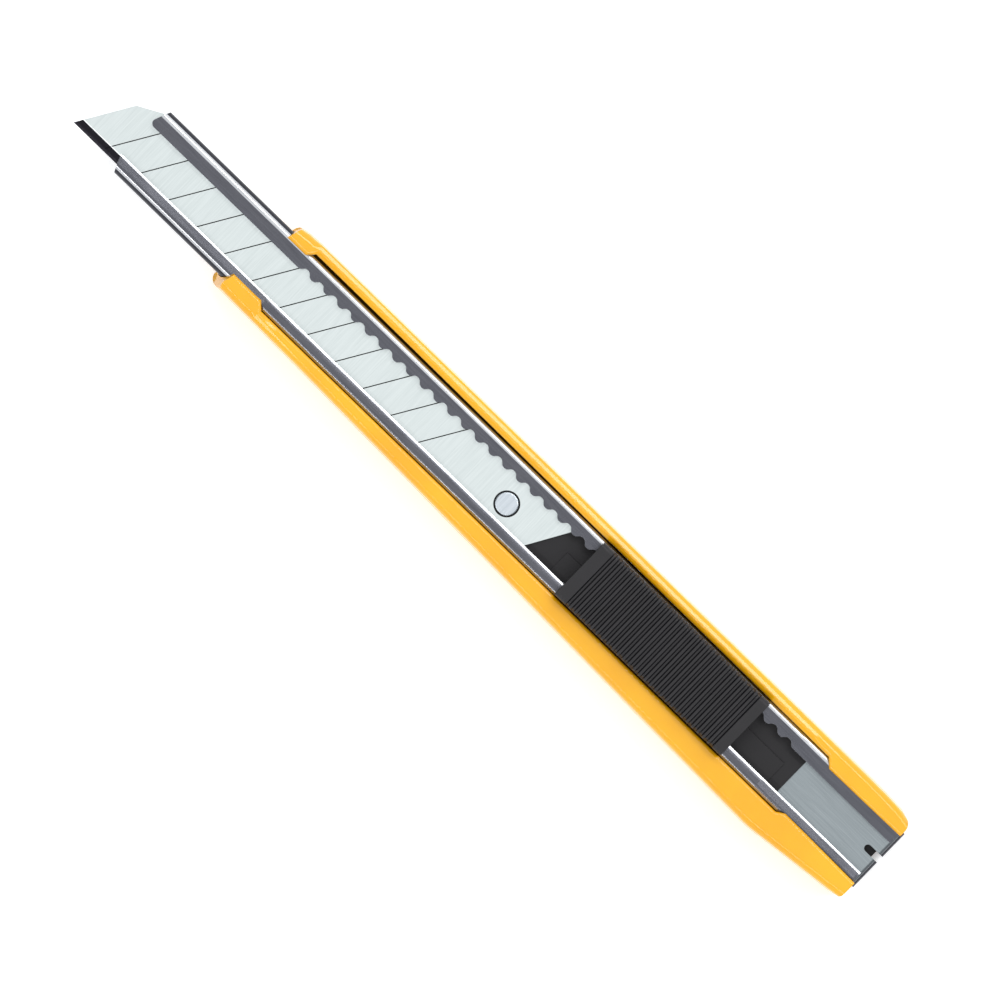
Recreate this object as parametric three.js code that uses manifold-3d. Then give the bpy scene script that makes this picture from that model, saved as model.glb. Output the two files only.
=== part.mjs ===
// A slim snap-off utility knife: a moulded handle holding a rolled steel channel, in which a
// slider carries a 9 mm scored blade and clicks along a wavy edge.
// Millimetres. +X points from the tail to the blade's point, +Y to the cutting edge, +Z up.
// The knife lies on its underside, and the origin is under the middle of its outer box.

import * as THREE from "three";
import { mergeVertices } from "three/addons/utils/BufferGeometryUtils.js";
import Module from "manifold-3d";

const wasm = await Module();
wasm.setup();

// ---------------------------------------------------------------- driving dimensions

const OVERALL_LENGTH = 141.5;
const TIP_X = OVERALL_LENGTH / 2;
const TAIL_X = -OVERALL_LENGTH / 2;
const AXIS_Y = -1.1; // the channel's axis: the handle's belly makes the other side wider

const HANDLE_TOP = 6.5;
const HANDLE_FLOOR = 2.4;
const HANDLE_TAIL = TAIL_X + 0.55;
const SIDE_DRAFT = 0.75; // how far each side leans in from its widest level to the top
const DRAFT_HEIGHT = 3.6;
const KEEL_ROUND = 1.5;
const HANDLE_BACK_Y = -6.86; // the straight side, over the blade's back
const BELLY_X = -54.4;
const BELLY_Y = 9.1;

const SHEET = 0.4;
const CHANNEL_HEIGHT = 3.4;
const CHANNEL_HALF_WIDTH = 5.35;
const CHANNEL_FRONT = 63.45;
const CHANNEL_TAIL = TAIL_X + 0.85;
const ROLL_RADIUS = CHANNEL_HEIGHT / 2;
const LIP_DROP = 0.2; // the lips lean in towards the slot between them
const WAVY_LIP_Y = -2.42;
const PLAIN_LIP_Y = 2.98;
const SEAT_GAP = 0.1; // between the channel and the handle around it

const CLICK_PITCH = 2.48;
const CLICK_COUNT = 36;
const CLICK_DEPTH = 0.62;
const CLICK_START_X = 36.85;

const FLANGE_BACK_Y = -4.6;
const FLANGE_EDGE_Y = 5.0;
const FLANGE_LOW = 0.5;
const BEND_RADIUS = 1.9;
const BEND_OVERLAP = 0.3;
const TAIL_SLOT_WIDTH = 1.0;
const TAIL_SLOT_LENGTH = 3.0;

const BLADE_THICK = 0.38;
const BLADE_EDGE_Y = 4.36;
const BLADE_BACK_Y = -4.6;
const BLADE_TAIL_X = -8.4; // where the tail cut meets the cutting edge
const BEVEL_WIDTH = 1.1;
const SNAP_PITCH = 5.0;
const SNAP_COUNT = 12;
const SNAP_LEAN = Math.tan(THREE.MathUtils.degToRad(31.0));
const TAIL_LEAN = Math.tan(THREE.MathUtils.degToRad(30.0));
const SCORE_WIDTH = 0.16;
const SCORE_DEPTH = 0.1;

const STUD_X = -3.85;
const STUD_Y = 0.68;
const STUD_RADIUS = 1.55;
const STUD_HOLE_RADIUS = 1.75;

const CARRIER_FRONT = 0.6;
const CARRIER_TAIL = -54.9;
const CARRIER_THICK = 1.4;
const CARRIER_HALF_WIDTH = 4.7;
const CARRIER_LIFT = 0.1; // running clearance over the channel floor
const CARRIER_STEP = 0.25;
const NECK_FRONT = -18.5;
const NECK_TAIL = -44.0;
const NECK_BACK_Y = -0.3;
const NECK_EDGE_Y = 2.7;
const NECK_TOP = 7.3;

const GRIP_FRONT = -16.35;
const GRIP_TAIL = -46.15;
const GRIP_BACK_Y = -4.57;
const GRIP_EDGE_Y = 4.78;
const GRIP_TOP = 9.0;
const GRIP_LAND = 1.5; // plain strip at each end of the ribs
const RIB_COUNT = 28;
const RIB_DEPTH = 0.4;
const THUMB_HOLLOW = 0.5;

const SPRING_THICK = 0.35;
const SPRING_TALL = 0.8;
const SPRING_EYE_X = -20.3;
const SPRING_Y = -1.62;
const SPRING_TAIL = -34.0;
const EYE_RADIUS = 0.85;
const PEG_RADIUS = 0.4;
const TOOTH_VALLEY = 26; // which valley of the wavy edge the tooth rests in
const TOOTH_CLEARANCE = 0.09;

const FINE_ARC = 10; // segments to each quarter turn of a round that shows
const COARSE_ARC = 4;

// levels worked out from the above
const CHANNEL_LOW = HANDLE_FLOOR;
const CHANNEL_TOP = CHANNEL_LOW + CHANNEL_HEIGHT;
const CHANNEL_MID = CHANNEL_LOW + ROLL_RADIUS;
const ROLL_CENTRE_Y = CHANNEL_HALF_WIDTH - ROLL_RADIUS;
const CHANNEL_BED = CHANNEL_LOW + SHEET;
const CARRIER_LOW = CHANNEL_BED + CARRIER_LIFT;
const CARRIER_TOP = CARRIER_LOW + CARRIER_THICK;
const BLADE_LOW = CARRIER_TOP + 0.02;
const BLADE_TOP = BLADE_LOW + BLADE_THICK;
const GRIP_LOW = CHANNEL_TOP + 0.1;
const FAR = 200; // longer than anything that is cut

// ---------------------------------------------------------------- solids

// A closed three.js geometry as a solid that can be joined and cut.
function solid(geometry) {
  const bare = geometry.index ? geometry.toNonIndexed() : geometry.clone();
  bare.deleteAttribute("normal");
  bare.deleteAttribute("uv");
  const merged = mergeVertices(bare, 1e-5);
  return new wasm.Manifold(new wasm.Mesh({
    numProp: 3,
    vertProperties: new Float32Array(merged.attributes.position.array),
    triVerts: new Uint32Array(merged.index.array),
  }));
}

// The reverse: a solid as a geometry with flat faces.
function geometryOf(body) {
  const mesh = body.getMesh();
  const geometry = new THREE.BufferGeometry();
  geometry.setAttribute("position", new THREE.BufferAttribute(new Float32Array(mesh.vertProperties), 3));
  geometry.setIndex(new THREE.BufferAttribute(new Uint32Array(mesh.triVerts), 1));
  const flat = geometry.toNonIndexed();
  flat.computeVertexNormals();
  return flat;
}

function outline(points) {
  return new THREE.Shape(points.map(([x, y]) => new THREE.Vector2(x, y)));
}

// A plan outline in X and Y, between two levels.
function plate(shape, low, high, arc = COARSE_ARC) {
  const options = { depth: high - low, bevelEnabled: false, curveSegments: arc };
  const geometry = new THREE.ExtrudeGeometry(shape, options);
  return solid(geometry.translate(0, 0, low));
}

// A cross-section in Y and Z, drawn out along X.
function bar(shape, start, end, arc = COARSE_ARC) {
  const options = { depth: end - start, bevelEnabled: false, curveSegments: arc };
  const geometry = new THREE.ExtrudeGeometry(shape, options);
  const turn = new THREE.Matrix4().makeBasis(
    new THREE.Vector3(0, 1, 0), new THREE.Vector3(0, 0, 1), new THREE.Vector3(1, 0, 0));
  return solid(geometry.applyMatrix4(turn).translate(start, 0, 0));
}

// A side view in X and Z, drawn across Y.
function slice(shape, back, edge, arc = COARSE_ARC) {
  const options = { depth: edge - back, bevelEnabled: false, curveSegments: arc };
  const geometry = new THREE.ExtrudeGeometry(shape, options);
  const turn = new THREE.Matrix4().makeBasis(
    new THREE.Vector3(1, 0, 0), new THREE.Vector3(0, 0, 1), new THREE.Vector3(0, -1, 0));
  return solid(geometry.applyMatrix4(turn).translate(0, edge, 0));
}

function block(x0, x1, y0, y1, z0, z1) {
  const geometry = new THREE.BoxGeometry(x1 - x0, y1 - y0, z1 - z0);
  return solid(geometry.translate((x0 + x1) / 2, (y0 + y1) / 2, (z0 + z1) / 2));
}

// A round part standing on Z, turned from its profile of [radius, level] points.
function turned(profile, x, y) {
  const points = profile.map(([radius, level]) => new THREE.Vector2(radius, level));
  const geometry = new THREE.LatheGeometry(points, 4 * FINE_ARC).rotateX(Math.PI / 2);
  return solid(geometry.translate(x, y, 0));
}

// ---------------------------------------------------------------- handle

// The handle seen from above: straight on the blade's back side, and swelling to a belly on
// the cutting side, with a rounded nose on each side of the channel. Every side is drawn cut
// back by the same amount, which the rounded rims then add again.
function handlePlan(cut) {
  const noseX = 44.4 - cut;
  const shortNoseX = 40.95 - cut;
  const tail = HANDLE_TAIL + cut;
  const back = HANDLE_BACK_Y + cut;
  const belly = BELLY_Y - cut;
  const plan = new THREE.Shape();
  plan.moveTo(noseX, 5.4 - cut);
  plan.quadraticCurveTo(noseX - 0.2, 6.7 - cut, noseX - 2.0, 6.85 - cut);
  plan.lineTo(28.0, 7.07 - cut);
  plan.lineTo(BELLY_X + 1.6, belly - 0.05);
  plan.quadraticCurveTo(BELLY_X, belly + 0.02, BELLY_X - 1.6, belly - 0.22);
  plan.lineTo(tail + 0.75, 7.4 - cut);
  plan.quadraticCurveTo(tail, 7.3 - cut, tail, 6.6 - cut);
  plan.lineTo(tail, -5.3 + cut);
  plan.quadraticCurveTo(tail, -6.5 + cut, tail + 2.0, back + 0.22);
  plan.quadraticCurveTo(tail + 4.5, back, tail + 8.0, back);
  plan.lineTo(30.0, back);
  plan.lineTo(shortNoseX - 1.9, back + 0.24);
  plan.quadraticCurveTo(shortNoseX, back + 0.4, shortNoseX, -5.3 + cut);
  return plan;
}

// The plan drawn up through the handle, with both rims cut back over the given height.
function roundedPlan(cut, height, segments, low, high) {
  const geometry = new THREE.ExtrudeGeometry(handlePlan(cut), {
    depth: high - low - 2 * height,
    bevelEnabled: true,
    bevelSize: cut,
    bevelThickness: height,
    bevelSegments: segments,
    curveSegments: COARSE_ARC,
  });
  return solid(geometry.translate(0, 0, low + height));
}

// The window over the channel, between the four tabs that hold it down.
function handleWindow() {
  return outline([
    [FAR, -4.24], [37.3, -4.24], [36.35, -5.12],
    [-56.5, -5.12], [-57.6, -3.8], [-FAR, -5.6],
    [-FAR, 6.4], [-57.4, 4.26], [-56.4, 4.95],
    [36.2, 4.95], [37.2, 3.95], [FAR, 3.95],
  ]);
}

// The bore that the channel slides into: round-sided, and flat where the channel rests.
function channelSeat() {
  const radius = ROLL_RADIUS + SEAT_GAP;
  const seat = new THREE.Shape();
  seat.absarc(ROLL_CENTRE_Y, CHANNEL_MID, radius, -Math.PI / 2, Math.PI / 2, false);
  seat.absarc(-ROLL_CENTRE_Y, CHANNEL_MID, radius, Math.PI / 2, 1.5 * Math.PI, false);
  const flat = block(-FAR, FAR, -FAR, FAR, HANDLE_FLOOR, FAR);
  return bar(seat, -FAR, FAR, 2 * FINE_ARC).intersect(flat);
}

function handle() {
  const leaning = roundedPlan(SIDE_DRAFT, DRAFT_HEIGHT, 1, HANDLE_TOP - 3 * DRAFT_HEIGHT, HANDLE_TOP);
  const keeled = roundedPlan(KEEL_ROUND, KEEL_ROUND, 3, 0, HANDLE_TOP + 2 * KEEL_ROUND);
  let body = leaning.intersect(keeled);
  body = body.subtract(channelSeat());
  body = body.subtract(plate(handleWindow(), CHANNEL_MID, FAR));

  // Each nose is raked, so its top stands further back than its foot.
  const rake = (top, foot) => outline([
    [top, HANDLE_TOP + 0.1], [foot, CHANNEL_LOW], [foot, -1], [FAR, -1], [FAR, HANDLE_TOP + 0.1],
  ]);
  body = body.subtract(slice(rake(42.45, 44.5), 0, FAR));
  const backSide = block(-FAR, FAR, -FAR, 0, CHANNEL_LOW, FAR);
  body = body.subtract(slice(rake(40.1, 41.2), -FAR, 0.01).intersect(backSide));

  // The tail of the floor stops short, inside the channel's downturned end.
  const bendRoom = outline([
    [-68.7, HANDLE_FLOOR + 0.1], [-68.7, HANDLE_FLOOR - 0.02], [-69.75, 1.7], [-69.75, -1],
    [-FAR, -1], [-FAR, HANDLE_FLOOR + 0.1],
  ]);
  body = body.subtract(slice(bendRoom, FLANGE_BACK_Y - 0.25, FLANGE_EDGE_Y + 0.25));
  const [flangeBack, flangeEdge] = [FLANGE_BACK_Y - 0.25, FLANGE_EDGE_Y + 0.25];
  body = body.subtract(block(-FAR, -68.4, flangeBack, flangeEdge, HANDLE_FLOOR, CHANNEL_MID));

  // A pocket under the channel's tail slot.
  body = body.subtract(block(-FAR, -67.6, -0.6, 0.7, 0.9, HANDLE_FLOOR + 0.1));

  // Under each tab the mould's core came through the floor and left an opening.
  const coreHole = (x0, x1, y0, y1) => block(x0, x1, y0, y1, -1, CHANNEL_MID);
  body = body.subtract(coreHole(37.4, 39.6, -5.3, -4.1));
  body = body.subtract(coreHole(37.3, 41.6, 3.8, 5.2));
  body = body.subtract(coreHole(-66.5, -57.7, -5.3, -3.9));
  body = body.subtract(coreHole(-66.5, -57.6, 4.1, 5.2));
  return body;
}

// ---------------------------------------------------------------- channel

// Bent from one sheet: a flat bed, two half-round sides and two lips that lean in.
function channelSection() {
  const centre = ROLL_CENTRE_Y;
  const inner = ROLL_RADIUS - SHEET;
  const down = -Math.PI / 2;
  const up = Math.PI / 2;
  const section = new THREE.Shape();
  section.moveTo(PLAIN_LIP_Y, CHANNEL_TOP - LIP_DROP - SHEET);
  section.lineTo(centre, CHANNEL_TOP - SHEET);
  section.absarc(centre, CHANNEL_MID, inner, up, down, true);
  section.absarc(-centre, CHANNEL_MID, inner, down, -1.5 * Math.PI, true);
  section.lineTo(WAVY_LIP_Y, CHANNEL_TOP - LIP_DROP - SHEET);
  section.lineTo(WAVY_LIP_Y, CHANNEL_TOP - LIP_DROP);
  section.absarc(-centre, CHANNEL_MID, ROLL_RADIUS, -1.5 * Math.PI, down, false);
  section.absarc(centre, CHANNEL_MID, ROLL_RADIUS, down, up, false);
  section.lineTo(PLAIN_LIP_Y, CHANNEL_TOP - LIP_DROP);
  return section;
}

// How deep the wavy edge is cut at a place along it: a wave with flattened crests and valleys.
function clickDepth(x) {
  const turn = 2 * Math.PI * (CLICK_START_X - x) / CLICK_PITCH;
  return CLICK_DEPTH * (0.5 - 0.5 * Math.tanh(1.4 * Math.cos(turn)) / Math.tanh(1.4));
}

function wavyCut() {
  const stepsPerWave = 8;
  const steps = CLICK_COUNT * stepsPerWave;
  const points = [];
  for (let i = 0; i <= steps; i += 1) {
    const x = CLICK_START_X - (i * CLICK_PITCH) / stepsPerWave;
    points.push([x, WAVY_LIP_Y - clickDepth(x) + (i % stepsPerWave === 0 ? 0.001 : 0)]);
  }
  const endX = CLICK_START_X - CLICK_COUNT * CLICK_PITCH;
  points.push([endX, WAVY_LIP_Y + 0.6], [CLICK_START_X, WAVY_LIP_Y + 0.6]);
  return plate(outline(points), CHANNEL_MID, CHANNEL_TOP + 1);
}

// The bed runs on past the rolled sides and turns down over the end of the handle.
function downturnedEnd() {
  const inside = BEND_RADIUS - SHEET;
  const startX = TAIL_X + BEND_RADIUS;
  const centreZ = CHANNEL_BED - BEND_RADIUS;
  const side = new THREE.Shape();
  side.moveTo(startX + BEND_OVERLAP, CHANNEL_BED);
  side.absarc(startX, centreZ, BEND_RADIUS, Math.PI / 2, Math.PI, false);
  side.lineTo(TAIL_X, FLANGE_LOW);
  side.lineTo(TAIL_X + SHEET, FLANGE_LOW);
  side.absarc(startX, centreZ, inside, Math.PI, Math.PI / 2, true);
  side.lineTo(startX + BEND_OVERLAP, CHANNEL_LOW);
  return slice(side, FLANGE_BACK_Y, FLANGE_EDGE_Y, FINE_ARC);
}

function bladeChannel() {
  let body = bar(channelSection(), CHANNEL_TAIL, CHANNEL_FRONT + 0.1, FINE_ARC);

  // The mouth: the sides slope back from the lips' rounded inner corners.
  const mouth = outline([
    [-FAR, -6], [CHANNEL_FRONT - 0.95, -6], [CHANNEL_FRONT - 0.8, -5.2], [CHANNEL_FRONT, -3.3],
    [CHANNEL_FRONT, -3.0], [CHANNEL_FRONT - 0.2, -2.6], [CHANNEL_FRONT - 0.6, -2.43],
    [CHANNEL_FRONT - 0.6, -2.2], [CHANNEL_FRONT - 0.6, 2.6],
    [CHANNEL_FRONT - 0.05, 2.9], [CHANNEL_FRONT - 0.45, 4.3], [CHANNEL_FRONT - 1.1, 5.2],
    [CHANNEL_FRONT - 1.2, 6], [-FAR, 6],
  ]);
  body = body.intersect(plate(mouth, 0, FAR));
  body = body.subtract(wavyCut());

  // The bed is cut free of the sides where it starts to bend down.
  const bendStart = TAIL_X + BEND_RADIUS;
  body = body.subtract(block(-FAR, bendStart, FLANGE_BACK_Y, FLANGE_EDGE_Y, 0, CHANNEL_BED + 0.01));
  body = body.add(downturnedEnd());
  const slotMiddle = 0.05;
  body = body.subtract(block(-FAR, TAIL_X + TAIL_SLOT_LENGTH,
    slotMiddle - TAIL_SLOT_WIDTH / 2, slotMiddle + TAIL_SLOT_WIDTH / 2, 0, CHANNEL_MID));

  // The plain lip's inner corner is cropped at the tail.
  const crop = outline([
    [-FAR, 2], [-69.0, 2], [-69.0, PLAIN_LIP_Y], [-69.9, PLAIN_LIP_Y + 0.6], [-FAR, 4],
  ]);
  return body.subtract(plate(crop, CHANNEL_MID, FAR));
}

// ---------------------------------------------------------------- blade

function snapOffBlade() {
  const width = BLADE_EDGE_Y - BLADE_BACK_Y;
  const cornerRun = 1.75; // the front piece's back corner is cut off
  const frontAtBack = TIP_X - SNAP_LEAN * (width - cornerRun);
  const plan = outline([
    [TIP_X, BLADE_EDGE_Y],
    [frontAtBack, BLADE_BACK_Y + cornerRun],
    [frontAtBack - 3.3, BLADE_BACK_Y],
    [BLADE_TAIL_X - TAIL_LEAN * width, BLADE_BACK_Y],
    [BLADE_TAIL_X, BLADE_EDGE_Y],
  ]);
  let body = plate(plan, BLADE_LOW, BLADE_TOP);

  // The ground edge is bevelled from both faces, and keeps a very small flat.
  const edgeFlat = 0.04;
  const middle = (BLADE_LOW + BLADE_TOP) / 2;
  const grind = (face) => outline([
    [BLADE_EDGE_Y - BEVEL_WIDTH, face],
    [BLADE_EDGE_Y + 0.01, middle + Math.sign(face - middle) * edgeFlat / 2],
    [BLADE_EDGE_Y + 1, middle + Math.sign(face - middle) * edgeFlat / 2],
    [BLADE_EDGE_Y + 1, face + Math.sign(face - middle)],
    [BLADE_EDGE_Y - BEVEL_WIDTH, face + Math.sign(face - middle)],
  ]);
  body = body.subtract(bar(grind(BLADE_TOP), -FAR, FAR));
  body = body.subtract(bar(grind(BLADE_LOW), -FAR, FAR));

  // One V-shaped score line across the upper face for each piece that snaps off.
  for (let i = 1; i <= SNAP_COUNT; i += 1) {
    const groove = outline([
      [-SCORE_WIDTH / 2, BLADE_TOP + 0.01], [0, BLADE_TOP - SCORE_DEPTH],
      [SCORE_WIDTH / 2, BLADE_TOP + 0.01],
    ]);
    const geometry = new THREE.ExtrudeGeometry(groove, { depth: 2 * width, bevelEnabled: false });
    const lean = new THREE.Matrix4().makeBasis(
      new THREE.Vector3(1, 0, 0), new THREE.Vector3(0, 0, 1), new THREE.Vector3(-SNAP_LEAN, -1, 0));
    geometry.applyMatrix4(lean);
    const edgeX = TIP_X - i * SNAP_PITCH;
    const overrun = 0.5 * width;
    geometry.translate(edgeX + SNAP_LEAN * overrun, BLADE_EDGE_Y + overrun, 0);
    body = body.subtract(solid(geometry));
  }
  const hole = [[0, 0], [STUD_HOLE_RADIUS, 0], [STUD_HOLE_RADIUS, FAR], [0, FAR]];
  return body.subtract(turned(hole, STUD_X, STUD_Y));
}

// ---------------------------------------------------------------- slider

// A long plate that runs in the channel, with a neck that rises between the lips.
function bladeCarrier() {
  const chamfer = 0.6;
  const half = CARRIER_HALF_WIDTH;
  const section = outline([
    [-half + 0.8, CARRIER_LOW], [half - 0.8, CARRIER_LOW], [half, CARRIER_LOW + chamfer],
    [half, CARRIER_TOP], [-half, CARRIER_TOP], [-half, CARRIER_LOW + chamfer],
  ]);
  let body = bar(section, CARRIER_TAIL, CARRIER_FRONT);

  // Behind the blade, the plate steps up a little on the cutting side.
  const stepFront = BLADE_TAIL_X - TAIL_LEAN * (BLADE_EDGE_Y - BLADE_BACK_Y) - 0.3;
  const [stepLow, stepHigh] = [CARRIER_TOP - 0.1, CARRIER_TOP + CARRIER_STEP];
  body = body.add(block(CARRIER_TAIL + 1.9, stepFront, -0.25, 4.2, stepLow, stepHigh));
  body = body.add(block(NECK_TAIL, NECK_FRONT, NECK_BACK_Y, NECK_EDGE_Y, CARRIER_TOP - 0.1, NECK_TOP));

  // The peg that the click spring's eye sits on, and a seat for the stud.
  const pegTop = CHANNEL_TOP - 0.02;
  body = body.add(turned([[0, CARRIER_TOP - 0.1], [PEG_RADIUS, CARRIER_TOP - 0.1], [PEG_RADIUS, pegTop],
    [0, pegTop]], SPRING_EYE_X, SPRING_Y));
  const seatRadius = STUD_RADIUS - 0.35;
  return body.subtract(turned([[0, 0], [seatRadius, 0], [seatRadius, FAR], [0, FAR]], STUD_X, STUD_Y));
}

// A shouldered steel stud, riveted under the plate, that stands in the blade's hole.
function bladeStud() {
  const shank = STUD_RADIUS - 0.45;
  const top = BLADE_TOP + 0.22;
  return turned([
    [0, CARRIER_LOW + 0.25], [shank, CARRIER_LOW + 0.25], [shank, CARRIER_TOP],
    [STUD_RADIUS, CARRIER_TOP], [STUD_RADIUS, top - 0.2], [STUD_RADIUS - 0.2, top], [0, top],
  ], STUD_X, STUD_Y);
}

function thumbGrip() {
  const middle = (GRIP_FRONT + GRIP_TAIL) / 2;
  const half = (GRIP_FRONT - GRIP_TAIL) / 2;
  const ribStart = GRIP_TAIL + GRIP_LAND;
  const pitch = (GRIP_FRONT - GRIP_TAIL - 2 * GRIP_LAND) / RIB_COUNT;
  const crest = (x) => GRIP_TOP - THUMB_HOLLOW * (1 - ((x - middle) / half) ** 2);
  const side = [
    [GRIP_FRONT, GRIP_LOW], [GRIP_FRONT, GRIP_TOP - 0.5], [GRIP_FRONT - 0.5, crest(GRIP_FRONT - 0.5)],
  ];
  for (let i = RIB_COUNT - 1; i >= 0; i -= 1) {
    const front = ribStart + (i + 1) * pitch;
    const floor = crest(front - pitch / 2) - RIB_DEPTH;
    side.push([front, floor], [front - 0.3 * pitch, floor]);
    side.push([front - 0.45 * pitch, crest(front)], [front - 0.85 * pitch, crest(front)]);
  }
  side.push([ribStart, crest(ribStart) - RIB_DEPTH], [ribStart - 0.15, crest(ribStart)]);
  side.push([GRIP_TAIL + 0.5, crest(GRIP_TAIL + 0.5)], [GRIP_TAIL, GRIP_TOP - 0.5], [GRIP_TAIL, GRIP_LOW]);
  const body = slice(outline(side), GRIP_BACK_Y, GRIP_EDGE_Y);

  // The neck presses up into this pocket.
  const fit = 0.1;
  return body.subtract(block(NECK_TAIL - fit, NECK_FRONT + fit, NECK_BACK_Y - fit, NECK_EDGE_Y + fit,
    0, NECK_TOP + fit));
}

// A spring strip on edge: an eye on the carrier's peg, an arm, and a tooth pressed out of it.
function clickSpring() {
  const low = CHANNEL_TOP - LIP_DROP - SHEET - 0.2;
  const high = low + SPRING_TALL;
  const toothX = CLICK_START_X - (TOOTH_VALLEY - 0.5) * CLICK_PITCH;
  const tipY = WAVY_LIP_Y - CLICK_DEPTH + TOOTH_CLEARANCE;
  const arm = outline([
    [SPRING_EYE_X, SPRING_Y - SPRING_THICK / 2], [toothX + 0.85, SPRING_Y - SPRING_THICK / 2],
    [toothX + 0.15, tipY], [toothX - 0.15, tipY], [toothX - 0.85, SPRING_Y - SPRING_THICK / 2],
    [SPRING_TAIL, SPRING_Y - SPRING_THICK / 2], [SPRING_TAIL, SPRING_Y + SPRING_THICK / 2],
    [toothX - 0.7, SPRING_Y + SPRING_THICK / 2], [toothX, SPRING_Y - 0.35],
    [toothX + 0.7, SPRING_Y + SPRING_THICK / 2],
    [SPRING_EYE_X, SPRING_Y + SPRING_THICK / 2],
  ]);
  const ring = (radius) =>
    turned([[0, low], [radius, low], [radius, high], [0, high]], SPRING_EYE_X, SPRING_Y);
  const bore = PEG_RADIUS + 0.12;
  const hole = turned([[0, 0], [bore, 0], [bore, FAR], [0, FAR]], SPRING_EYE_X, SPRING_Y);
  return plate(arm, low, high).add(ring(EYE_RADIUS)).subtract(hole);
}

// ---------------------------------------------------------------- assembly

const yellow = { color: "#ffb92d", roughness: 0.35, metalness: 0 };
const black = { color: "#211e23", roughness: 0.5, metalness: 0 };
const steel = { color: "#a9adb0", roughness: 0.3, metalness: 1 };

const pieces = [
  ["handle", handle(), yellow],
  ["blade_channel", bladeChannel(), steel],
  ["snap_off_blade", snapOffBlade(), { color: "#d8e0df", roughness: 0.25, metalness: 1 }],
  ["blade_carrier", bladeCarrier(), black],
  ["blade_stud", bladeStud(), steel],
  ["thumb_grip", thumbGrip(), black],
  ["click_spring", clickSpring(), steel],
];

const knife = new THREE.Group();
for (const [name, body, finish] of pieces) {
  const mesh = new THREE.Mesh(geometryOf(body), new THREE.MeshStandardMaterial(finish));
  mesh.name = name;
  mesh.position.y = AXIS_Y;
  knife.add(mesh);
}

export default knife;
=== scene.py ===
# %% [markdown]
# # A slim snap-off utility knife
#
# The knife is a yellow moulded handle round a channel rolled from stainless strip. A black slider
# runs in the channel, carries a 9 mm scored blade and clicks along a wavy edge. The measured
# model comes first and stays as it is; every piece below is made to its sizes, in metres, in its
# frame: +X from the tail to the blade's point, +Y towards the cutting edge, +Z up.

# %% Load the measured model
import math

import bmesh
import bpy
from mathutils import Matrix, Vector


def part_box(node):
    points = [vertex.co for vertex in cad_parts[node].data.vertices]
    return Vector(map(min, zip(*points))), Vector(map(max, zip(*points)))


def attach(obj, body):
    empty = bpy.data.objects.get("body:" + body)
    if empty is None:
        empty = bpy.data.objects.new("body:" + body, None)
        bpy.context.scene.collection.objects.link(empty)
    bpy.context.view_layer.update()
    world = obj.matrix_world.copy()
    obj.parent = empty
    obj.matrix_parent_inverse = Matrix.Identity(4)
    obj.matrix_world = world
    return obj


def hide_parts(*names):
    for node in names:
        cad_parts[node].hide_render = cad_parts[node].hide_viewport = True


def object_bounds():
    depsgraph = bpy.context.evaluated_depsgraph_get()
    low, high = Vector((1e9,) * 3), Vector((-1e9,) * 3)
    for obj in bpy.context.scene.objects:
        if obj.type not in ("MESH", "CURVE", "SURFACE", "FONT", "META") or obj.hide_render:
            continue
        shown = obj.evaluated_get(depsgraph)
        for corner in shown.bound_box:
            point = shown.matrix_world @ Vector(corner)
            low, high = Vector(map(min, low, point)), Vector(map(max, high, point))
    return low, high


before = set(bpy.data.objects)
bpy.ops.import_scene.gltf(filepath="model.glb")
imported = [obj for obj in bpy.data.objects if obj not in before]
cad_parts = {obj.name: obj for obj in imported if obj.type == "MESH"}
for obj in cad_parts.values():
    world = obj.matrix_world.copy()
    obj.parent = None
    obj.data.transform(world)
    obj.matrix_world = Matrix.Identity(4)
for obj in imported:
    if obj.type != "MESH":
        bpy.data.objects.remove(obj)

cad_low, cad_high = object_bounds()
print("overall size in mm:", [round(1000 * side, 2) for side in cad_high - cad_low])

# %% [markdown]
# ## Places and sizes
#
# Each piece starts from the box of its own measured part, so nothing is placed by eye. Lengths are
# easiest to read in millimetres, so each box is turned into millimetres once, here, and MM takes
# them back to Blender's metres where an operator needs them.

# %% Read the boxes of the measured parts
MM = 0.001


def box_mm(node):
    low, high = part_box(node)
    return low / MM, high / MM


handle_low, handle_high = box_mm("handle")
channel_low, channel_high = box_mm("blade_channel")
blade_low, blade_high = box_mm("snap_off_blade")
carrier_low, carrier_high = box_mm("blade_carrier")
stud_low, stud_high = box_mm("blade_stud")
grip_low, grip_high = box_mm("thumb_grip")

AXIS_Y = (channel_low.y + channel_high.y) / 2   # the middle of the channel
SHEET = 0.4                                     # the channel's strip
ROLL = 1.7                                      # outside radius under its rolled sides
SHOULDER = 1.25                                 # outside radius above them
CHANNEL_TOP = channel_high.z
CHANNEL_BOTTOM = CHANNEL_TOP - 2 * ROLL
HALF_WIDTH = (channel_high.y - channel_low.y) / 2
ROLL_Y, ROLL_Z = HALF_WIDTH - ROLL, CHANNEL_BOTTOM + ROLL
SHOULDER_Y, SHOULDER_Z = HALF_WIDTH - SHOULDER, CHANNEL_TOP - SHOULDER
print("channel axis at y =", round(AXIS_Y, 3), "and its bed at z =", round(CHANNEL_BOTTOM, 3))

# %% [markdown]
# ## The camera
#
# The knife is seen from straight above and lies across the frame at 44 degrees, with its point
# up and to the left. A long lens far away keeps its sides parallel.

# %% Set up the camera
VIEW_WIDTH = 129.2      # millimetres across the frame, at the height of the lips
KNIFE_SLANT = 44.2      # degrees between the knife and the frame's level edge
LENS = 250.0
SENSOR = 36.0
AIM = Vector((-2.87, -0.17, CHANNEL_TOP))

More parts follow.
